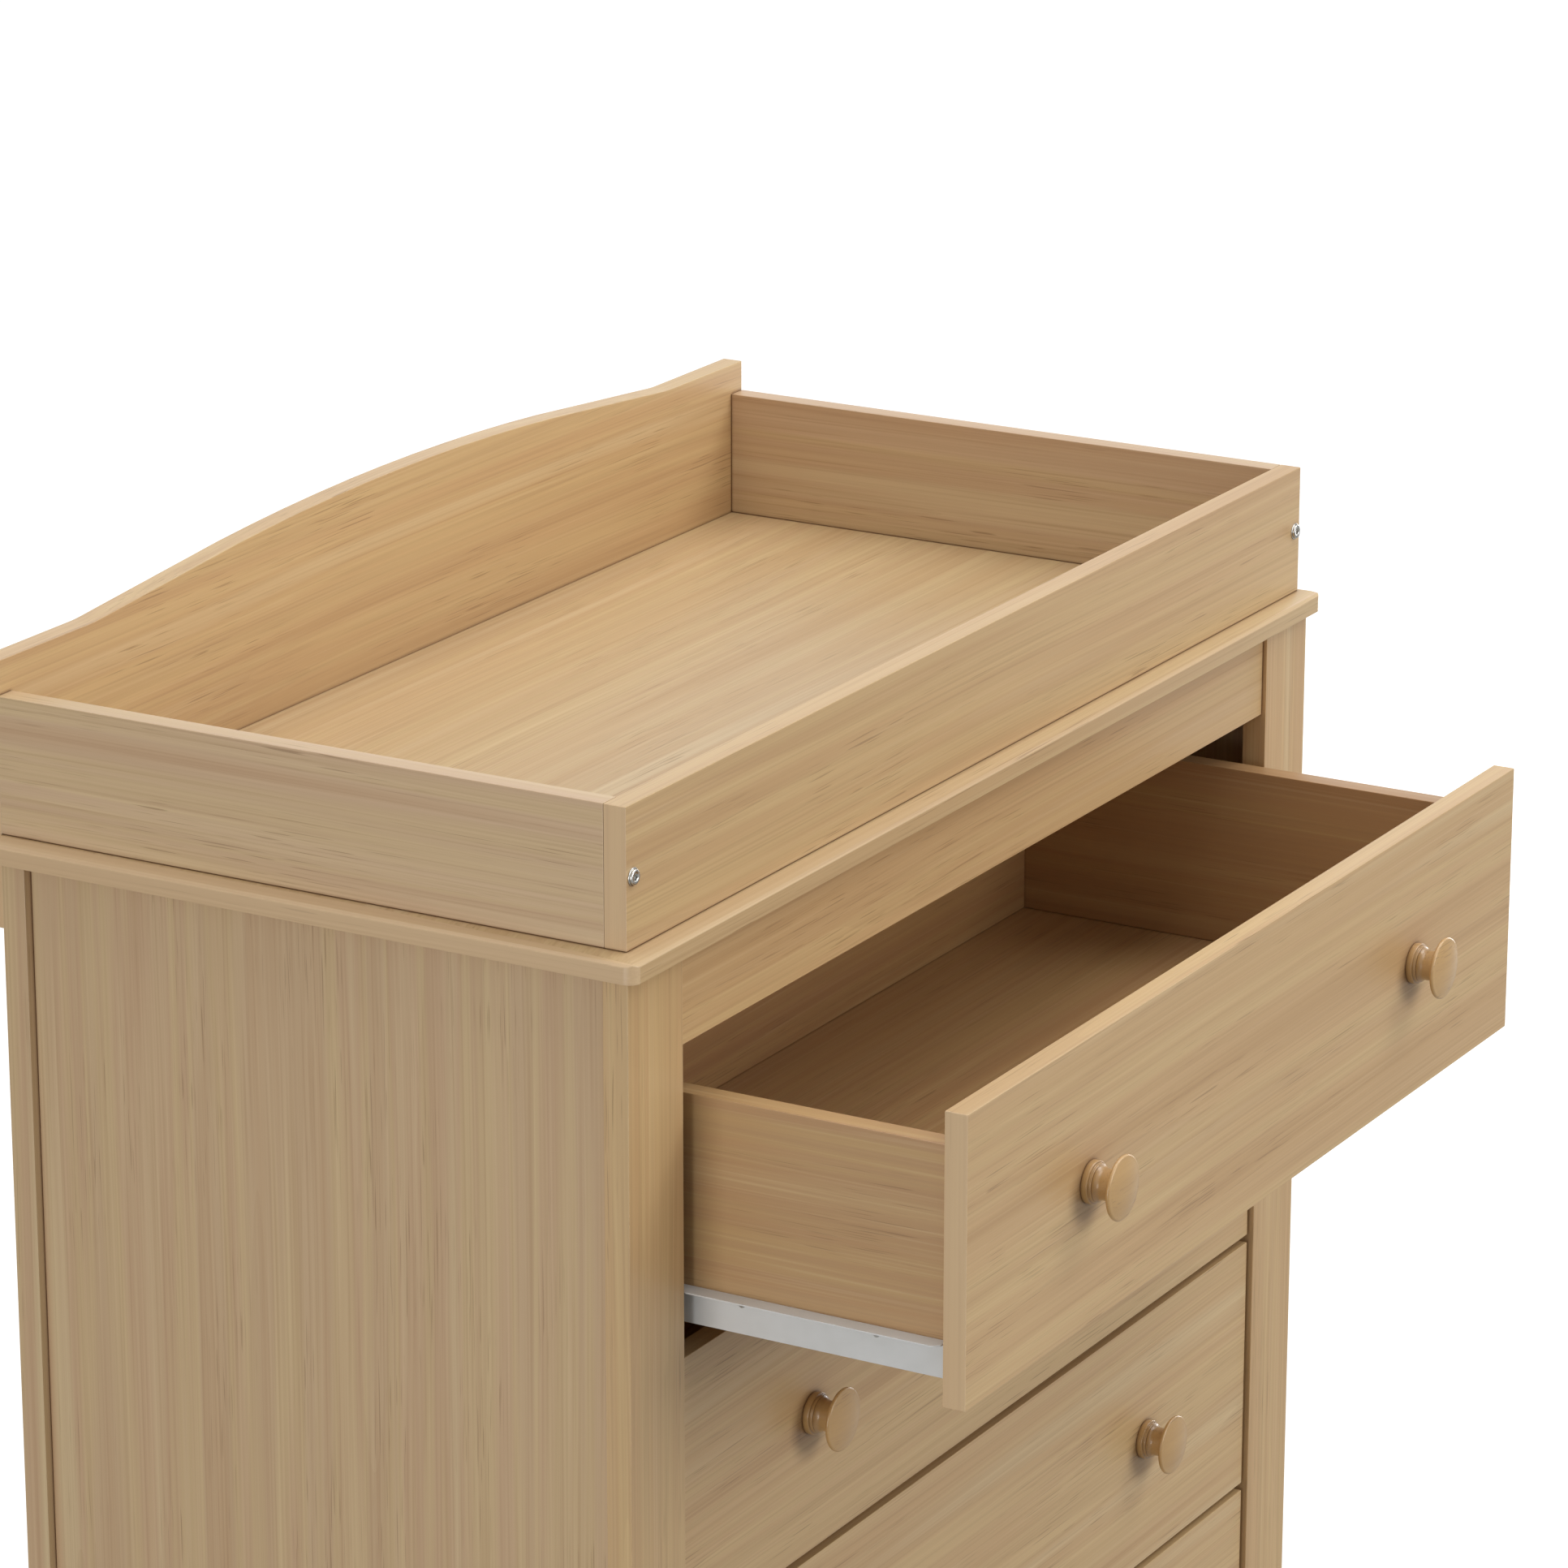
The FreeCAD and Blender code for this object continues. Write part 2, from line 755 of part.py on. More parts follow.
def make_drawer_runner(number, back):
    """The moving section: a foot under the drawer side, a web and a ledge that rides the roller."""
    steel = dim.steel_thick
    web_bottom = -(dim.web_height - steel)
    front = back + dim.runner_setback
    length = dim.box_length - dim.runner_setback
    member = runner_profile("member", [
        (box_outside - dim.foot_flange, web_bottom),
        (member_web, web_bottom),
        (member_web, 0),
        (ledge_edge, 0),
        (ledge_edge, steel),
        (box_outside, steel),
        (box_outside, web_bottom + steel),
        (box_outside - dim.foot_flange, web_bottom + steel),
    ], front + length, length, number)
    level = ledge_level(number)
    corner = wedge(ledge_edge, front, (level, level + steel))
    depth = back + dim.box_length - dim.rear_roller_inset
    pin = rod("X", (member_web, depth, rear_axle_height(number)), axle_length, dim.axle_dia)
    return joined([without(member, [corner]), pin])


def wedge(edge, front, heights):
    """The corner taken off the ledge's front end."""
    cut = dim.ledge_chamfer
    body = new_body("wedge")
    shape = outline(body, "XY_Plane", [
        (edge - cut, front),
        (edge, front),
        (edge, front + cut),
    ], name="wedge_plan")
    low, high = heights
    pad(body, shape, high - low)
    place(body, 0, 0, low)
    return body


# ---------------------------------------------------------------- the whole object

make_stiles()
make_side_panels()
make_rails()
make_back_board()
make_top_panel()
make_tray_front()
make_tray_sides()
make_tray_back()
make_tray_screws()
make_cleats()
make_cabinet_runners()
for drawer in range(DRAWERS):
    opened = dim.top_drawer_open if drawer == 0 else as_size(0)
    make_drawer(drawer, front_face - opened)

doc.recompute()
for item in doc.Objects:
    if "Invalid" in item.State or "Error" in item.State:
        raise RuntimeError(f"{item.Name} ({item.Label}) did not build: {item.State}")
os.makedirs("parts", exist_ok=True)
for item in finished:
    if item.Shape.isNull() or not item.Shape.isValid():
        raise RuntimeError(f"{item.Label} has no valid shape")
    item.Shape.exportStep(f"parts/{item.Label}.step")
    print(f"{item.Label}: {len(item.Shape.Solids)} solids, {item.Shape.Volume / 1000:.1f} cm3")
print(f"{len(finished)} sub-parts")
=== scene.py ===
# %% [markdown]
# # A changing dresser in pale lacquered pine
#
# The dresser is a chest of four drawers with a tray for a changing mat on top. Its joinery, its
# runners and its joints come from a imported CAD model, so this script never moves or reshapes a
# board. What it adds is everything that the eye reads as real: the finish of each surface, the
# softly rounded edges, the small screws and nails, the light and the camera.

# %% Load the frame
import math

import bmesh
import bpy
from mathutils import Matrix, Vector


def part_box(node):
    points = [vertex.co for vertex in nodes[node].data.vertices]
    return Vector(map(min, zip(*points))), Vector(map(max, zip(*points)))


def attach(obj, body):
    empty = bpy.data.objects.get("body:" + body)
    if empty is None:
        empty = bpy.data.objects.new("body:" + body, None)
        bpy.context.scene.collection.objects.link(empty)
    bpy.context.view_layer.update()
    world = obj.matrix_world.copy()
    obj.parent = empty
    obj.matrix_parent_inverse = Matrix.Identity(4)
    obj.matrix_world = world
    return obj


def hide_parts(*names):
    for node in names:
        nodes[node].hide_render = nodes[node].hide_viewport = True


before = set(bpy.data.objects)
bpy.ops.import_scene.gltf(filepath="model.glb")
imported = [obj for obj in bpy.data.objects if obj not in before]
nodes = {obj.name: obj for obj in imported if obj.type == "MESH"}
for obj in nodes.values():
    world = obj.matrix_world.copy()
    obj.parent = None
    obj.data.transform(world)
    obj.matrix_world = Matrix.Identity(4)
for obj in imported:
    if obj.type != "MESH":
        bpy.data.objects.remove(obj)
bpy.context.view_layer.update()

# %% [markdown]
# ## Units, colours and nodes
#
# Blender measures in metres, while furniture is drawn in millimetres, so `MM` turns one into the
# other. Colours are written as the hex values that a colour picker shows. Those are sRGB, and
# shaders want linear light, so one function converts them. One more function adds any shader
# node: plain values in `inputs` are set on its sockets, and sockets of other nodes are linked.

# %% Units, colours and one node helper
MM = 0.001


def linear(hex_colour):
    """An sRGB hex colour as linear red, green, blue and alpha."""
    parts = [int(hex_colour[start:start + 2], 16) / 255 for start in (1, 3, 5)]
    return [part / 12.92 if part <= 0.04045 else ((part + 0.055) / 1.055) ** 2.4
            for part in parts] + [1.0]


def add_node(tree, kind, inputs=None, **settings):
    """Adds a node with its settings; inputs holds values or other nodes' output sockets."""
    node = tree.nodes.new(kind)
    for name, value in settings.items():
        setattr(node, name, value)
    for name, value in (inputs or {}).items():
        if isinstance(value, bpy.types.NodeSocket):
            tree.links.new(value, node.inputs[name])
        else:
            node.inputs[name].default_value = value
    return node


def new_material(name):
    """An empty material, its node tree and its output node."""
    material = bpy.data.materials.new(name)
    material.use_nodes = True
    tree = material.node_tree
    tree.nodes.clear()
    return material, tree, add_node(tree, "ShaderNodeOutputMaterial")


print("mid wood tone in linear light:", [round(part, 3) for part in linear("#BF9F70")[:3]])

# %% [markdown]
# ## The camera
#
# The photograph looks down at the dresser from the left front with a long lens, so that the
# lines along the width and the depth hardly converge. The camera's place, heading and tilt were
# worked out from the straight edges of the boards, and are kept here as plain values. The whole
# frame is square, 1932 by 1932 pixels, and the focal length in pixels becomes millimetres
# through the sensor's width. No lens shift is used: it would follow the camera into every
# other view.

# %% Camera
IMAGE_SIDE_PX = 1932
FOCAL_PX = 7840.7
CAMERA_PLACE = Vector((-3.3552, -1.9054, 2.1105))
CAMERA_HEADING = 0.52297
CAMERA_TILT = 0.30357

camera_data = bpy.data.cameras.new("camera")
camera_data.sensor_width = 36.0
camera_data.lens = FOCAL_PX * camera_data.sensor_width / IMAGE_SIDE_PX
camera = bpy.data.objects.new("camera", camera_data)
bpy.context.scene.collection.objects.link(camera)
camera.location = CAMERA_PLACE
camera.rotation_euler = (math.pi / 2 - CAMERA_TILT, 0, CAMERA_HEADING - math.pi / 2)
bpy.context.scene.camera = camera
print("lens:", round(camera_data.lens, 1), "mm")

# %% [markdown]
# ## Floor, backdrop and light
#
# A product picture like this one stands on plain paper in front of a white backdrop. The world
# gives an even white fill from everywhere. The floor is plain matt paper that also glows, but
# only for rays from the camera and, weakly, for mirror-like ones. So it reads as white and still
# takes the soft shadow, without throwing more light on the wood. Near the dresser it glows a
# little less, because the lamps light it there.

# %% Floor and world
FLOOR_SIDE = 60.0
PAPER = "#949492"
PAPER_GLOW = (0.82, 0.93)
GLOW_FROM_TO_M = (1.2, 4.0)
PAPER_SHEEN = 0.12
WORLD_LIGHT = 0.36
BACKDROP_WHITE = 1.0

floor_material, tree, output = new_material("white_studio_paper")
path = add_node(tree, "ShaderNodeLightPath")
spot = add_node(tree, "ShaderNodeTexCoord")
away = add_node(tree, "ShaderNodeVectorMath", {0: spot.outputs["Object"]}, operation="LENGTH")
near, far = GLOW_FROM_TO_M
paper_glow = add_node(tree, "ShaderNodeMapRange", {
    "Value": away.outputs["Value"], "From Min": near, "From Max": far,
    "To Min": PAPER_GLOW[0], "To Max": PAPER_GLOW[1]})
mirrored = add_node(tree, "ShaderNodeMath", {0: path.outputs["Is Glossy Ray"], 1: PAPER_SHEEN},
                    operation="MULTIPLY")
glow = add_node(tree, "ShaderNodeMath", {0: path.outputs["Is Camera Ray"],
                                         1: paper_glow.outputs["Result"],
                                         2: mirrored.outputs[0]}, operation="MULTIPLY_ADD")
sheet = add_node(tree, "ShaderNodeBsdfDiffuse", {"Color": linear(PAPER)})
light = add_node(tree, "ShaderNodeEmission", {"Strength": glow.outputs[0]})
both = add_node(tree, "ShaderNodeAddShader", {0: sheet.outputs[0], 1: light.outputs[0]})
tree.links.new(both.outputs[0], output.inputs["Surface"])

floor_mesh = bpy.data.meshes.new("studio_floor")
half = FLOOR_SIDE / 2
floor_mesh.from_pydata([(-half, -half, 0), (half, -half, 0), (half, half, 0), (-half, half, 0)],
                       [], [(0, 1, 2, 3)])
floor_mesh.materials.append(floor_material)
floor = bpy.data.objects.new("studio_floor", floor_mesh)
bpy.context.scene.collection.objects.link(floor)

world = bpy.data.worlds.new("studio_world")
bpy.context.scene.world = world
world.use_nodes = True
tree = world.node_tree
tree.nodes.clear()
path = add_node(tree, "ShaderNodeLightPath")
seen = add_node(tree, "ShaderNodeMath", {0: path.outputs["Is Camera Ray"],
                                         1: path.outputs["Is Glossy Ray"]}, operation="MAXIMUM")
lighting = add_node(tree, "ShaderNodeBackground", {"Strength": WORLD_LIGHT})
backdrop = add_node(tree, "ShaderNodeBackground", {"Strength": BACKDROP_WHITE})
for background in (lighting, backdrop):
    background.inputs["Color"].default_value = (1, 1, 1, 1)
choice = add_node(tree, "ShaderNodeMixShader", {0: seen.outputs[0], 1: lighting.outputs[0],
                                                2: backdrop.outputs[0]})
add_node(tree, "ShaderNodeOutputWorld", {"Surface": choice.outputs[0]})
bpy.context.scene.view_settings.view_transform = "Standard"
print("floor glow", PAPER_GLOW, "world light", WORLD_LIGHT)

# %% [markdown]
# ## Softboxes
#
# Large soft lamps give the wood its mild shading. A sun lamp would be quicker to set, but its
# hard shadows don't belong in a studio. A big softbox hangs over the dresser, a key softbox
# stands high at the right front, a wide one in front lights the drawers, and three smaller ones
# keep the two sides and the back readable. Their powers were balanced until the boards in each
# direction came close to the right tone. The rest is painted into the wood: the top and the
# sides get paler, greyer tones than the fronts, a painted sheen and light colour.

# %% Softboxes
MIDDLE = Vector((0, 0, 0.6))


def softbox(name, place, side, power):
    """A square area lamp that looks at the dresser's middle."""
    data = bpy.data.lights.new(name, "AREA")
    data.shape = "SQUARE"
    data.size = side
    data.energy = power
    lamp = bpy.data.objects.new(name, data)
    bpy.context.scene.collection.objects.link(lamp)
    lamp.location = place
    lamp.rotation_euler = (MIDDLE - Vector(place)).to_track_quat("-Z", "Y").to_euler()
    print(name, "at", place, "m,", side, "m wide,", power, "W")


softbox("top_softbox", (0.0, 0.0, 4.2), 3.0, 73)
softbox("key_softbox", (2.4, -2.6, 4.2), 2.2, 67)
softbox("front_softbox", (0.5, -4.6, 2.0), 2.4, 88)
softbox("left_softbox", (-3.4, 0.0, 0.75), 1.4, 37)
softbox("right_softbox", (3.4, 0.0, 0.75), 1.4, 32)
softbox("back_softbox", (0.0, 3.8, 1.0), 1.8, 50)

# %% [markdown]
# ## Lacquered pine
#
# The boards are faced with straight-grained pine veneer under a clear satin lacquer. Six
# things make the eye say pine: wide soft bands of honey and rose, growth rings that darken
# slowly and end in a crisp line, streaks of a few millimetres, long thin lines, a fine fibre,
# and now and then a short dark fleck where a resin canal was cut. A picture of wood wrapped
# round the boards would show seams, so the pattern is a solid one: noise that is squeezed across
# the grain and stretched along it, worked out in real millimetres from each board's own
# coordinates. Real fibres are finer than a pixel here, so they are drawn about a millimetre
# wide. The growth rings come from a slow noise whose value is counted off in steps.

# %% Grain layers and tones
# Each pair is the length along the grain and the width across it, in mm.
BAND_MM = (1500.0, 24.0)
RING_MM = (2600.0, 70.0)
RINGS = 9.0
LINE_MM = (420.0, 1.4)
STREAK_MM = (800.0, 4.5)
FIBRE_MM = (240.0, 0.9)
FLECK_MM = (46.0, 0.8)
PATCH_MM = (170.0, 30.0)
WAVE_MM = (700.0, 400.0)
WAVE_HEIGHT_MM = 6.0
BOARD_SHIFT_MM = (3900.0, 2700.0, 3300.0)
JOINT_AND_SHADE_MM = 2.5
# The tone sets are one pine in lit and shaded copies: the top, side and panel tones are paler and
# greyer than the front tones, a painted sheen and light colour.
FRONT_TONES = ((0.30, "#BC996C"), (0.42, "#C4A275"), (0.50, "#C9AB7B"), (0.58, "#C2A073"),
               (0.70, "#CDB286"))
TOP_TONES_AND_SHEEN = ((0.30, "#BC9D72"), (0.42, "#C2A57B"), (0.50, "#C6AC80"), (0.58, "#C0A279"),
             (0.70, "#CBB38B"))
SIDE_TONES_AND_SHEEN = ((0.30, "#C0A07E"), (0.42, "#C6A988"), (0.50, "#CAB088"), (0.58, "#C4A684"),
              (0.70, "#CFB893"))
PANEL_TONES_AND_SHEEN = ((0.30, "#BA9B77"), (0.42, "#C0A481"), (0.50, "#C4AA81"), (0.58, "#BE9F7D"),
               (0.70, "#C9B28B"))
BOX_TONES = ((0.30, "#B1885C"), (0.42, "#B99164"), (0.50, "#BE9A68"), (0.58, "#B78F61"),
             (0.70, "#C2A06F"))
BOX_SIDE_TONES = ((0.30, "#A98258"), (0.42, "#B08A5F"), (0.50, "#B59363"), (0.58, "#AE885D"),
                  (0.70, "#B9986A"))
KNOB_TONES = ((0.30, "#B28B56"), (0.50, "#BA945E"), (0.70, "#C29C67"))
LINE_TONE = "#A27F5A"
LIGHT_TONE = "#DCC59C"
FLECK_TONE = "#80603C"
# The joint tone is partly glue and dust in the gaps and partly painted shade in inside corners and
# round knobs and screw heads.
JOINT_AND_CORNER_SHADE_TONE = "#6B4423"
# The end tone is a painted highlight that lifts the ends of the boards towards a pale tone.
END_HIGHLIGHT_TONE = "#D0B28E"
END_HIGHLIGHT_STRENGTH = 0.5
AXIS = {"X": 0, "Y": 1, "Z": 2}


def grain_noise(tree, plank, size_mm, detail):
    """Noise that is size_mm long along the grain and wide across it."""
    long, wide = size_mm
    scaled = add_node(tree, "ShaderNodeVectorMath", {0: plank, 1: (1 / long, 1 / wide, 1 / wide)},
                      operation="MULTIPLY")
    noise = add_node(tree, "ShaderNodeTexNoise", {"Vector": scaled.outputs[0], "Scale": 1.0,
                                                  "Detail": detail, "Roughness": 0.55})
    return noise.outputs["Fac"]


def turned_to_grain(tree, place_mm, axis):
    """The place with the grain's axis moved to the front."""
    split = add_node(tree, "ShaderNodeSeparateXYZ", {0: place_mm})
    order = [AXIS[axis]] + [number for number in range(3) if number != AXIS[axis]]
    return add_node(tree, "ShaderNodeCombineXYZ", {
        slot: split.outputs[number] for slot, number in enumerate(order)}).outputs[0]


print("growth rings about", round(RING_MM[1] / RINGS, 1), "mm apart, fibre", FIBRE_MM[1], "mm")

# %% [markdown]
# ### Where the grain runs
#
# On the ends of the boards the grain runs along the edge and not into it. The surface normal
# tells where an end is, and there the pattern turns to the other direction and half of it gives
# way to one pale tone, a painted highlight that makes the ends paler and plainer. Object Info's
# Random number shifts the pattern, so that no two boards are cut from one place.

# %% Where the grain runs on a board
END_TURN = 0.12


def along_the_grain(tree, grain, ends):
    """Each point's place in mm, grain first, and whether it is on an end; boards are shifted."""
    place = add_node(tree, "ShaderNodeTexCoord")
    board = add_node(tree, "ShaderNodeObjectInfo")
    in_mm = add_node(tree, "ShaderNodeVectorMath", {0: place.outputs["Object"], "Scale": 1 / MM},
                     operation="SCALE")
    shift = add_node(tree, "ShaderNodeVectorMath", {0: BOARD_SHIFT_MM,
                                                    "Scale": board.outputs["Random"]},
                     operation="SCALE")
    moved = add_node(tree, "ShaderNodeVectorMath", {0: in_mm.outputs[0], 1: shift.outputs[0]},
                     operation="ADD").outputs[0]
    facing = add_node(tree, "ShaderNodeSeparateXYZ", {0: place.outputs["Normal"]})
    steep = add_node(tree, "ShaderNodeMath", {0: facing.outputs[AXIS[grain]]},
                     operation="ABSOLUTE")
    is_end = add_node(tree, "ShaderNodeMath", {0: steep.outputs[0], 1: END_TURN},
                      operation="GREATER_THAN")
    plank = add_node(tree, "ShaderNodeMix", {0: is_end.outputs[0]}, data_type="VECTOR")
    tree.links.new(turned_to_grain(tree, moved, grain), plank.inputs[4])
    tree.links.new(turned_to_grain(tree, moved, ends), plank.inputs[5])
    wave = add_node(tree, "ShaderNodeMapRange", {
        "Value": grain_noise(tree, plank.outputs[1], WAVE_MM, 1.0),
        "To Min": -WAVE_HEIGHT_MM, "To Max": WAVE_HEIGHT_MM}).outputs[0]
    sway = add_node(tree, "ShaderNodeCombineXYZ", {1: wave, 2: wave})
    swaying = add_node(tree, "ShaderNodeVectorMath", {0: plank.outputs[1], 1: sway.outputs[0]},
                       operation="ADD")
    return swaying.outputs[0], is_end.outputs[0]


# %% [markdown]
# ### The pine under its lacquer
#
# The layers are laid over the soft bands one by one. Each takes one noise, the value where it
# starts and where it is full, its strength and its tone. Painting the same grain by hand would
# give one board, while layers of noise give as many boards as there are, all of one timber.
#
# Where two boards meet, lacquer, glue and dust gather in the joint and draw a thin brown line.
# The Ambient Occlusion node finds those places: it looks a few millimetres round each point. It
# also darkens every inside corner and a ring round each knob and screw head, and that part is
# painted shade.
# The satin lacquer is a rather rough base with a thin coat, and the fibres lift it very slightly.

# %% The pine material
FIBRE_LIFT = 0.12
FIBRE_HEIGHT_MM = 0.1
SATIN_SPREAD = (-0.03, 0.04)


def lacquered_pine(name, grain, ends, tones, figure=1.0, roughness=0.42, coat=0.2,
                   coat_roughness=0.3, joint_lines_and_shade=0.92):
    """Pine under clear lacquer; grain and ends name the axes that the figure runs along."""
    material, tree, output = new_material(name)
    plank, is_end = along_the_grain(tree, grain, ends)
    bands = add_node(tree, "ShaderNodeValToRGB", {
        "Fac": grain_noise(tree, plank, BAND_MM, 2.0)})
    stops = bands.color_ramp.elements
    while len(stops) < len(tones):
        stops.new(0.5)
    for stop, (level, tone) in zip(stops, tones):
        stop.position = level
        stop.color = linear(tone)

    counted = add_node(tree, "ShaderNodeMath", {0: grain_noise(tree, plank, RING_MM, 1.0),
                                                1: RINGS}, operation="MULTIPLY")
    ring = add_node(tree, "ShaderNodeMath", {0: counted.outputs[0]}, operation="FRACT")
    streaks = grain_noise(tree, plank, STREAK_MM, 2.0)
    fibres = grain_noise(tree, plank, FIBRE_MM, 1.0)
    flecks = grain_noise(tree, plank, FLECK_MM, 0.0)
    fleck_strength = add_node(tree, "ShaderNodeMapRange", {
        "Value": grain_noise(tree, plank, PATCH_MM, 1.0),
        "From Min": 0.46, "From Max": 0.6, "To Max": 0.5}).outputs[0]
    lines = grain_noise(tree, plank, LINE_MM, 0.0)
    # Joint lines and painted shade: glue and dust in the gaps, and shade painted into inside
    # corners and round knobs and screw heads.
    joint_and_corner_shade = add_node(tree, "ShaderNodeAmbientOcclusion", {"Distance": JOINT_AND_SHADE_MM * MM}, samples=6)
    colour = bands.outputs["Color"]
    # Painted highlight: the ends of the boards are lifted towards one pale tone.
    end_highlight = END_HIGHLIGHT_STRENGTH if ends != grain else 0.0
    # The noise, where its layer starts, where it is full, how strong it is, and its tone.
    for noise, start, full, strength, tone in (
            (ring.outputs[0], 0.2, 1.0, 0.15 * figure, LINE_TONE),
            (streaks, 0.45, 0.72, 0.15, LINE_TONE),
            (lines, 0.55, 0.8, 0.3 * figure, LINE_TONE),
            (lines, 0.4, 0.2, 0.15 * figure, LIGHT_TONE),
            (fibres, 0.42, 0.75, 0.13, LINE_TONE),
            (flecks, 0.68, 0.76, fleck_strength, FLECK_TONE),
            (is_end, 0.0, 1.0, end_highlight, END_HIGHLIGHT_TONE),
            (joint_and_corner_shade.outputs["AO"], 0.9, 0.3, joint_lines_and_shade, JOINT_AND_CORNER_SHADE_TONE)):
        depth = add_node(tree, "ShaderNodeMapRange", {
            "Value": noise, "From Min": start, "From Max": full, "To Max": strength})
        colour = add_node(tree, "ShaderNodeMix", {0: depth.outputs[0], 6: colour, 7: linear(tone)},
                          data_type="RGBA").outputs[2]

    bump = add_node(tree, "ShaderNodeBump", {"Height": fibres, "Strength": FIBRE_LIFT,
                                             "Distance": FIBRE_HEIGHT_MM * MM})
    satin = add_node(tree, "ShaderNodeMapRange", {
        "Value": streaks, "From Min": 0.3, "From Max": 0.7,
        "To Min": roughness + SATIN_SPREAD[0], "To Max": roughness + SATIN_SPREAD[1]})
    shader = add_node(tree, "ShaderNodeBsdfPrincipled", {
        "Base Color": colour,
        "Roughness": satin.outputs[0],
        "Normal": bump.outputs[0],
        "Coat Weight": coat,
        "Coat Roughness": coat_roughness,
    })
    tree.links.new(shader.outputs[0], output.inputs["Surface"])
    print(name, "made of", len(tree.nodes), "nodes")
    return material


upright_x = lacquered_pine("lacquered_pine_grain_across", "X", "Z", FRONT_TONES)
level_x = lacquered_pine("lacquered_pine_on_the_top", "X", "Y", TOP_TONES_AND_SHEEN)
along_y = lacquered_pine("lacquered_pine_grain_front_to_back", "Y", "Z", SIDE_TONES_AND_SHEEN)
along_z = lacquered_pine("lacquered_pine_grain_upright", "Z", "X", PANEL_TONES_AND_SHEEN)
stile_z = lacquered_pine("lacquered_pine_on_the_front_stiles", "Z", "X", FRONT_TONES)
box_x = lacquered_pine("drawer_box_pine_grain_across", "X", "Z", BOX_TONES, joint_lines_and_shade=0.3)
box_y = lacquered_pine("drawer_box_pine_grain_front_to_back", "Y", "Z", BOX_SIDE_TONES,
                       joint_lines_and_shade=0.3)
turned = lacquered_pine("gloss_lacquered_turned_pine", "X", "X", KNOB_TONES, figure=0.0,
                        roughness=0.36, coat=0.45, coat_roughness=0.14)

# %% [markdown]
# ## Soft edges
#
# No sawn board leaves the workshop with a knife edge: its edges are sanded to a radius of under
# a millimetre, and that small round is what catches a thin bright line of light and leaves a
# dark line where two boards meet. Remodelling the boards is not needed for it. Six modifiers
# do it without touching the CAD mesh: Weld joins the corners that the file format split,
# Decimate merges the triangles of each flat face, Bevel rounds what turns by more than 35
# degrees, and a small node group smooths the shading over the round. Weighted Normal keeps the
# big flat faces truly flat, so that only the round catches the light, and Triangulate cuts the
# faces that have screw holes into even triangles.

# %% Edge rounding
SHARP_TURN = math.radians(35)
FLAT_TURN = math.radians(0.5)


def smooth_by_angle():
    """Geometry nodes that shade smooth, and keep edges that turn sharply crisp."""
    group = bpy.data.node_groups.new("smooth_by_angle", "GeometryNodeTree")
    group.interface.new_socket("Geometry", in_out="INPUT", socket_type="NodeSocketGeometry")
    group.interface.new_socket("Geometry", in_out="OUTPUT", socket_type="NodeSocketGeometry")
    start = add_node(group, "NodeGroupInput")
    turn = add_node(group, "GeometryNodeInputMeshEdgeAngle")
    soft = add_node(group, "FunctionNodeCompare", {0: turn.outputs[0], 1: SHARP_TURN},
                    operation="LESS_THAN", data_type="FLOAT")
    faces = add_node(group, "GeometryNodeSetShadeSmooth", {
        "Geometry": start.outputs[0], "Shade Smooth": True}, domain="FACE")
    edges = add_node(group, "GeometryNodeSetShadeSmooth", {
        "Geometry": faces.outputs[0], "Shade Smooth": soft.outputs[0]}, domain="EDGE")
    add_node(group, "NodeGroupOutput", {0: edges.outputs[0]})
    return group


SMOOTHING = smooth_by_angle()


def round_edges(piece, radius_mm, segments=2):
    """Softens a piece's edges by modifiers alone."""
    weld = piece.modifiers.new("weld", "WELD")
    weld.merge_threshold = 0.001 * MM
    flatten = piece.modifiers.new("merge_flat_faces", "DECIMATE")
    flatten.decimate_type = "DISSOLVE"
    flatten.angle_limit = FLAT_TURN
    bevel = piece.modifiers.new("soft_edges", "BEVEL")
    bevel.width = radius_mm * MM
    bevel.segments = segments
    bevel.limit_method = "ANGLE"
    bevel.angle_limit = SHARP_TURN
    bevel.use_clamp_overlap = False
    shading = piece.modifiers.new("smooth_by_angle", "NODES")
    shading.node_group = SMOOTHING
    level = piece.modifiers.new("flat_faces_stay_flat", "WEIGHTED_NORMAL")
    level.keep_sharp = True
    cut = piece.modifiers.new("even_triangles", "TRIANGULATE")
    cut.ngon_method = "BEAUTY"
    cut.min_vertices = 5
    cut.keep_custom_normals = True


def dress(names, material, radius_mm, segments=2):
    """Gives CAD nodes their finish and their soft edges."""
    for name in names:
        piece = nodes[name]
        piece.data.materials.clear()
        piece.data.materials.append(material)
        round_edges(piece, radius_mm, segments)
    print(material.name, "on", len(names), "nodes")


DRAWERS = [f"drawer_{number}" for number in (1, 2, 3, 4)]
BOARD_EDGE_MM = 0.7
MOULDED_EDGE_MM = 0.4

dress(["front_top_rail", "front_bottom_rail", "back_bottom_rail", "back_top_rail", "tray_front",
       "tray_back"] + [f"{drawer}_front" for drawer in DRAWERS], upright_x, BOARD_EDGE_MM)
dress(["top_panel"], level_x, MOULDED_EDGE_MM)
dress(["tray_side_left", "tray_side_right"], along_y, BOARD_EDGE_MM)
dress([f"{drawer}_{part}" for drawer in DRAWERS for part in ("back", "bottom")], box_x,
      BOARD_EDGE_MM)
dress(["runner_cleats"] + [f"{drawer}_side_{side}" for drawer in DRAWERS
                           for side in ("left", "right")], box_y, BOARD_EDGE_MM)
dress(["back_stile_left", "back_stile_right", "side_panel_left", "side_panel_right"], along_z,
      BOARD_EDGE_MM)
dress(["front_stile_left", "front_stile_right"], stile_z, BOARD_EDGE_MM)
dress([f"{drawer}_knobs" for drawer in DRAWERS], turned, 0.5, 3)

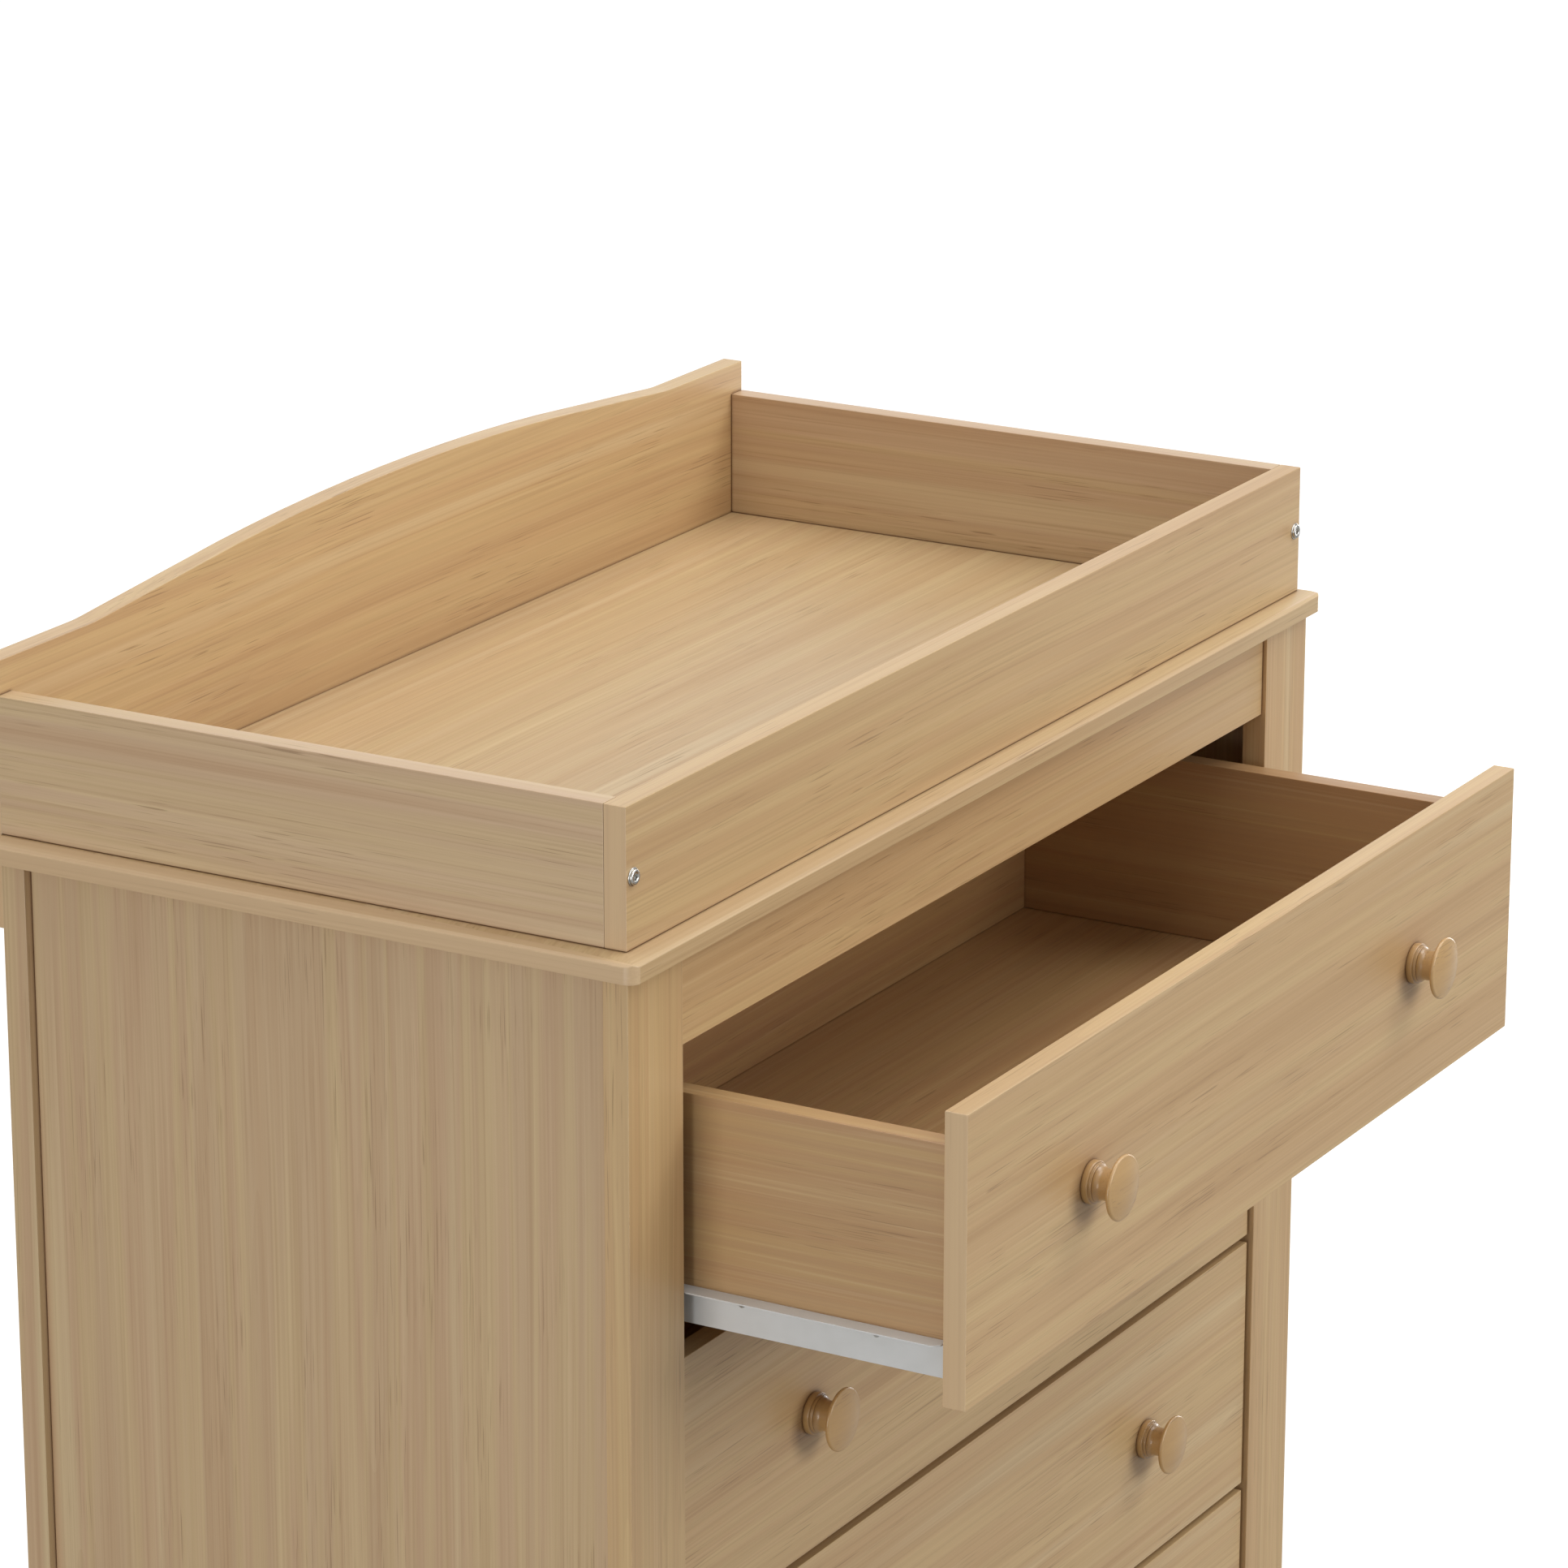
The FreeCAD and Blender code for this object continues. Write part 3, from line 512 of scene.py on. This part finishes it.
# %% [markdown]
# ## Painted steel, nylon, plated screws and hardboard
#
# The runners are pressed from one-millimetre steel and dipped in white epoxy paint, which
# levels out with a very faint orange peel. Their rollers are moulded nylon, matt and slightly
# translucent to the eye. The tray's screws are nickel-plated: a bright metal whose roughness
# varies a little from handling. The small screws and nails are zinc-plated, which is a little
# greyer and duller. The thin back board is hardboard, brown and closely fibrous.

# %% Plain finishes
PAINT_WHITE = "#D3D3D2"
ORANGE_PEEL_MM = 1.6


def speckle(tree, size_mm, detail=2.0):
    """Even noise in the piece's own millimetres."""
    place = add_node(tree, "ShaderNodeTexCoord")
    return add_node(tree, "ShaderNodeTexNoise", {
        "Vector": place.outputs["Object"], "Scale": 1 / (size_mm * MM),
        "Detail": detail}).outputs["Fac"]


def plain_finish(name, tones, size_mm, bump_mm, roughness, metallic=0.0):
    """A finish of one colour that varies a little, with its own texture size."""
    material, tree, output = new_material(name)
    cloud = speckle(tree, size_mm * 12)
    grit = speckle(tree, size_mm)
    bump = add_node(tree, "ShaderNodeBump", {"Height": grit, "Strength": 0.3,
                                             "Distance": bump_mm * MM})
    spread = add_node(tree, "ShaderNodeMapRange", {
        "Value": cloud, "From Min": 0.3, "From Max": 0.7})
    colour = add_node(tree, "ShaderNodeMix", {0: spread.outputs[0], 6: linear(tones[0]),
                                              7: linear(tones[1])}, data_type="RGBA")
    handled = add_node(tree, "ShaderNodeMapRange", {
        "Value": grit, "From Min": 0.3, "From Max": 0.7,
        "To Min": roughness[0], "To Max": roughness[1]})
    shader = add_node(tree, "ShaderNodeBsdfPrincipled", {
        "Base Color": colour.outputs[2],
        "Roughness": handled.outputs[0],
        "Normal": bump.outputs[0],
        "Metallic": metallic,
    })
    tree.links.new(shader.outputs[0], output.inputs["Surface"])
    return material


painted_steel = plain_finish("white_epoxy_on_steel", (PAINT_WHITE, "#CDCDCB"), ORANGE_PEEL_MM,
                             0.02, (0.28, 0.36))
nylon = plain_finish("moulded_white_nylon", ("#E8E6DE", "#E1DFD6"), 0.8, 0.01, (0.42, 0.52))
nickel = plain_finish("bright_nickel_plate", ("#C9C8C4", "#BDBCB8"), 0.5, 0.004, (0.16, 0.28),
                      metallic=1.0)
zinc = plain_finish("bright_zinc_plate", ("#C4C5C4", "#B4B5B3"), 0.6, 0.004, (0.26, 0.38),
                    metallic=1.0)
hardboard = plain_finish("pressed_hardboard", ("#A98C66", "#9C7F59"), 1.0, 0.03, (0.62, 0.72))

dress(["cabinet_runners"] + [f"{drawer}_runners" for drawer in DRAWERS], painted_steel, 0.3)
dress([f"{drawer}_{end}_rollers" for drawer in DRAWERS for end in ("front", "rear")], nylon, 0.4)
dress(["tray_screws"], nickel, 0.4, 3)
dress(["back_board"], hardboard, 0.3)

# %% [markdown]
# ## Turned knobs
#
# A knob is turned from a small blank of pine on a lathe, so its whole shape is one outline that
# is spun round an axis: a foot with one small bead, a hollow that narrows to the neck, and a thin
# mushroom head with a rounded rim and a low dome. A Screw modifier could spin it, but code that
# lays ring after ring of vertices gives clean even faces, and the same few lines make the screw
# heads further down. A hexagon or a cross socket is a ring whose radius changes with the angle.
# The CAD model has the same knob with plain cones, so the turned one stands in for it.

# %% A lathe in code
def arc(across, along, radius, start, end, steps=6):
    """A round in a lathe outline: points as distances from the axis and along it, in mm."""
    turns = [math.radians(start + (end - start) * step / steps) for step in range(steps + 1)]
    return [(across + radius * math.cos(turn), along + radius * math.sin(turn))
            for turn in turns]


def turn_on_lathe(mesh, outline_mm, place_mm, axis, steps=48):
    """Spins an outline round an axis; a third value on a point shapes its ring."""
    up = Vector(axis)
    aside = up.orthogonal().normalized()
    rings = []
    for radius, height, *shape in outline_mm:
        centre = (Vector(place_mm) + up * height) * MM
        turns = [math.tau * step / steps for step in range(steps if radius else 1)]
        reach = [radius * MM * (shape[0](turn) if shape else 1) for turn in turns]
        rings.append([mesh.verts.new(centre + Matrix.Rotation(turn, 3, up) @ aside * out)
                      for turn, out in zip(turns, reach)])
    for lower, upper in zip(rings, rings[1:]):
        for step in range(steps):
            corners = [lower[step % len(lower)], lower[(step + 1) % steps % len(lower)],
                       upper[(step + 1) % steps % len(upper)], upper[step % len(upper)]]
            mesh.faces.new(list(dict.fromkeys(corners)))


def finish_piece(mesh, name, material, body):
    """Turns a bmesh into a smooth-shaded piece that rides on a body."""
    bmesh.ops.recalc_face_normals(mesh, faces=mesh.faces)
    data = bpy.data.meshes.new(name)
    mesh.to_mesh(data)
    mesh.free()
    data.materials.append(material)
    piece = bpy.data.objects.new(name, data)
    bpy.context.scene.collection.objects.link(piece)
    shading = piece.modifiers.new("smooth_by_angle", "NODES")
    shading.node_group = SMOOTHING
    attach(piece, body)
    print(name, "has", len(data.polygons), "faces and rides on", body)
    return piece


# %% The knobs
# The outline starts on the drawer front and ends at the middle of the dome.
KNOB_STEPS = 64
FOOT_RADIUS_MM = 13.4
NECK_RADIUS_MM = 9.7
HEAD_RADIUS_MM = 20.2
KNOB_LENGTH_MM = 24.5
COVE_MM = 4.6
RIM_MM = 1.4
UNDERSIDE_MM = 19.7
DOME_MM = 2.15

dome_edge = HEAD_RADIUS_MM - RIM_MM
dome_ball = (dome_edge ** 2 + DOME_MM ** 2) / (2 * DOME_MM)
dome = [(across, KNOB_LENGTH_MM - dome_ball + math.sqrt(dome_ball ** 2 - across ** 2))
        for across in (18.2, 17, 15, 12, 8, 4, 0)]
KNOB_OUTLINE = ([(0, 0)] + arc(FOOT_RADIUS_MM - 0.4, 0.4, 0.4, -90, 0, 3)
                + arc(FOOT_RADIUS_MM - 0.9, 3.6, 0.9, 0, 85, 4)
                + [(12.1, 4.6)] + arc(10.9, 5.4, 1.0, -20, 70, 4)
                + arc(NECK_RADIUS_MM + COVE_MM, 10.5, COVE_MM, 235, 180)
                + [(NECK_RADIUS_MM, 14.0)]
                + arc(NECK_RADIUS_MM + 1.5, UNDERSIDE_MM - 1.5, 1.5, 180, 90)
                + arc(HEAD_RADIUS_MM - RIM_MM, UNDERSIDE_MM + RIM_MM, RIM_MM, -90, 75, 8) + dome)

for drawer in DRAWERS:
    low, high = [corner / MM for corner in map(Vector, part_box(f"{drawer}_knobs"))]
    mesh = bmesh.new()
    for across in (low.x + HEAD_RADIUS_MM, high.x - HEAD_RADIUS_MM):
        turn_on_lathe(mesh, KNOB_OUTLINE, (across, high.y, (low.z + high.z) / 2), (0, -1, 0),
                      KNOB_STEPS)
    knobs = finish_piece(mesh, f"{drawer}_turned_knobs", turned, drawer)
    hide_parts(f"{drawer}_knobs")

# %% [markdown]
# ## Screws and nails
#
# The tray is held by furniture screws: a nickel-plated cap with a rounded rim on a slightly
# wider base, and a hexagon socket for the key. The runners and the knobs are held by small
# cross-recess screws, and the thin back board by nails about 150 mm apart. These are the smallest
# pieces on the dresser, and they tell the eye how large everything else is. All of them are
# turned like the knobs, shank and point included, and sit on the faces that they hold.

# %% Sockets and screw outlines
SIXTH = math.tau / 6
CROSS_ARM = math.radians(17)
CROSS_WAIST = 0.4


def hexagon(turn):
    """How much further out than its flats a hexagon reaches in this direction."""
    return 1 / math.cos(turn % SIXTH - SIXTH / 2)


def cross(turn):
    """A cross recess: full reach along its four arms and little between them."""
    off_arm = (turn + math.tau / 8) % (math.tau / 4) - math.tau / 8
    return 1.0 if abs(off_arm) < CROSS_ARM else CROSS_WAIST


def furniture_screw(length):
    """The tray's screw, from its point to the floor of its hexagon socket."""
    return ([(0, -length), (2.4, -length), (3.4, 1.2 - length), (3.4, 0), (5.5, 0)]
            + arc(5.2, 0.4, 0.3, 0, 90, 3) + [(4.7, 0.75)] + arc(3.9, 1.5, 0.8, 0, 90, 5)
            + [(2.6, 2.3), (2.3, 2.1), (2.0, 1.9, hexagon), (2.0, 0.5, hexagon), (0, 0.4)])


def cross_screw(length, radius, height):
    """A low pan head over a short shank."""
    return [(0, -length), (radius * 0.5, 1 - length), (radius * 0.55, 0), (radius, 0),
            (radius, height * 0.4), (radius * 0.86, height * 0.8), (radius * 0.62, height),
            (radius * 0.58, height, cross), (radius * 0.4, height * 0.2, cross), (0, 0)]


print("screw outlines have", len(furniture_screw(50)), "and", len(cross_screw(12, 3, 1)), "points")

# %% [markdown]
# ### The tray's screws
#
# Two screws pass through the front board into the ends of the tray's sides, two more do the
# same at the back, and two hold the tall back board to the case. They stand in the places
# of the CAD model's plainer screws, and have the same lengths.

# %% The tray's screws
# How far from the middle, the face they sit on, the height, their direction and their length.
TRAY_SCREWS = [(432.5, -121.65, 983.25, -1, 50), (432.5, 332.15, 983.25, 1, 50),
               (300.0, 332.15, 910.0, 1, 32)]

mesh = bmesh.new()
for across, seat, height, outward, length in TRAY_SCREWS:
    for side in (-1, 1):
        turn_on_lathe(mesh, furniture_screw(length), (across * side, seat, height), (0, outward, 0))
screws = finish_piece(mesh, "tray_furniture_screws", nickel, "cabinet")
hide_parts("tray_screws")

# %% [markdown]
# ### The small screws and nails
#
# Three screws hold each moving runner section to its drawer, three hold each fixed channel to
# its batten, and one comes through the drawer front into each knob. Nails run along all four
# edges of the back board. An array modifier could repeat them, but a loop can take each row's
# height from the drawer that it belongs to.

# %% Screws in the runners, screws in the knobs, nails in the back board
SCREW_STEPS = 36
NAIL_STEPS = 18
RUNNER_SCREW = cross_screw(12, 2.2, 1.0)
CHANNEL_SCREW = cross_screw(12, 2.8, 0.8)
KNOB_SCREW = cross_screw(22, 4.0, 2.2)
WEB_OUTSIDE_MM = 373.0
CHANNEL_INSIDE_MM = 384.0
LEDGE_TO_SCREW_MM = 4.6
BEHIND_FRONT_MM = (48.0, 138.0, 300.0)
CHANNEL_SCREWS_MM = (-60.0, 70.0, 200.0)
CHANNEL_FLOOR_TO_SCREW_MM = 9.0
NAIL_SPACING_MM = 150.0
NAIL_EDGE_MM = 9.0
NAILS_UP_A_SIDE = 6
NAIL = [(0, -14), (0.7, -12), (0.8, 0), (1.9, 0), (1.9, 0.25), (1.5, 0.4), (0, 0.45)]

channel_screws = bmesh.new()
for drawer in DRAWERS:
    front = [corner / MM for corner in map(Vector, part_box(f"{drawer}_front"))]
    runner = [corner / MM for corner in map(Vector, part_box(f"{drawer}_runners"))]
    knob = [corner / MM for corner in map(Vector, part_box(f"{drawer}_knobs"))]
    mesh = bmesh.new()
    for side in (-1, 1):
        for behind in BEHIND_FRONT_MM:
            place = (WEB_OUTSIDE_MM * side, front[1].y + behind, runner[1].z - LEDGE_TO_SCREW_MM)
            turn_on_lathe(mesh, RUNNER_SCREW, place, (side, 0, 0), SCREW_STEPS)
        for along in CHANNEL_SCREWS_MM:
            place = (CHANNEL_INSIDE_MM * side, along, runner[0].z + CHANNEL_FLOOR_TO_SCREW_MM)
            turn_on_lathe(channel_screws, CHANNEL_SCREW, place, (-side, 0, 0), SCREW_STEPS)
    finish_piece(mesh, f"{drawer}_runner_screws", zinc, drawer)
    mesh = bmesh.new()
    for across in (knob[0].x + HEAD_RADIUS_MM, knob[1].x - HEAD_RADIUS_MM):
        place = (across, front[1].y, (knob[0].z + knob[1].z) / 2)
        turn_on_lathe(mesh, KNOB_SCREW, place, (0, 1, 0), SCREW_STEPS)
    finish_piece(mesh, f"{drawer}_knob_screws", zinc, drawer)
finish_piece(channel_screws, "channel_screws", zinc, "cabinet")

mesh = bmesh.new()
low, high = [corner / MM for corner in map(Vector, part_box("back_board"))]
rows = [low.z + NAIL_EDGE_MM + NAIL_SPACING_MM * step for step in range(NAILS_UP_A_SIDE)]
columns = [NAIL_SPACING_MM * step for step in (-2, -1, 0, 1, 2)]
nails = [((high.x - NAIL_EDGE_MM) * side, height) for side in (-1, 1) for height in rows]
nails += [(across, low.z + NAIL_EDGE_MM) for across in columns]
nails += [(across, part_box("tray_back")[0][2] / MM - NAIL_EDGE_MM) for across in columns]
for across, height in nails:
    turn_on_lathe(mesh, NAIL, (across, high.y, height), (0, 1, 0), NAIL_STEPS)
finish_piece(mesh, "back_board_nails", zinc, "cabinet")

# %% [markdown]
# ## Bringing the scene up to date
#
# The visual model must stay inside the CAD model's box. The last cell only updates the view layer.

# %% Update the view layer
bpy.context.view_layer.update()
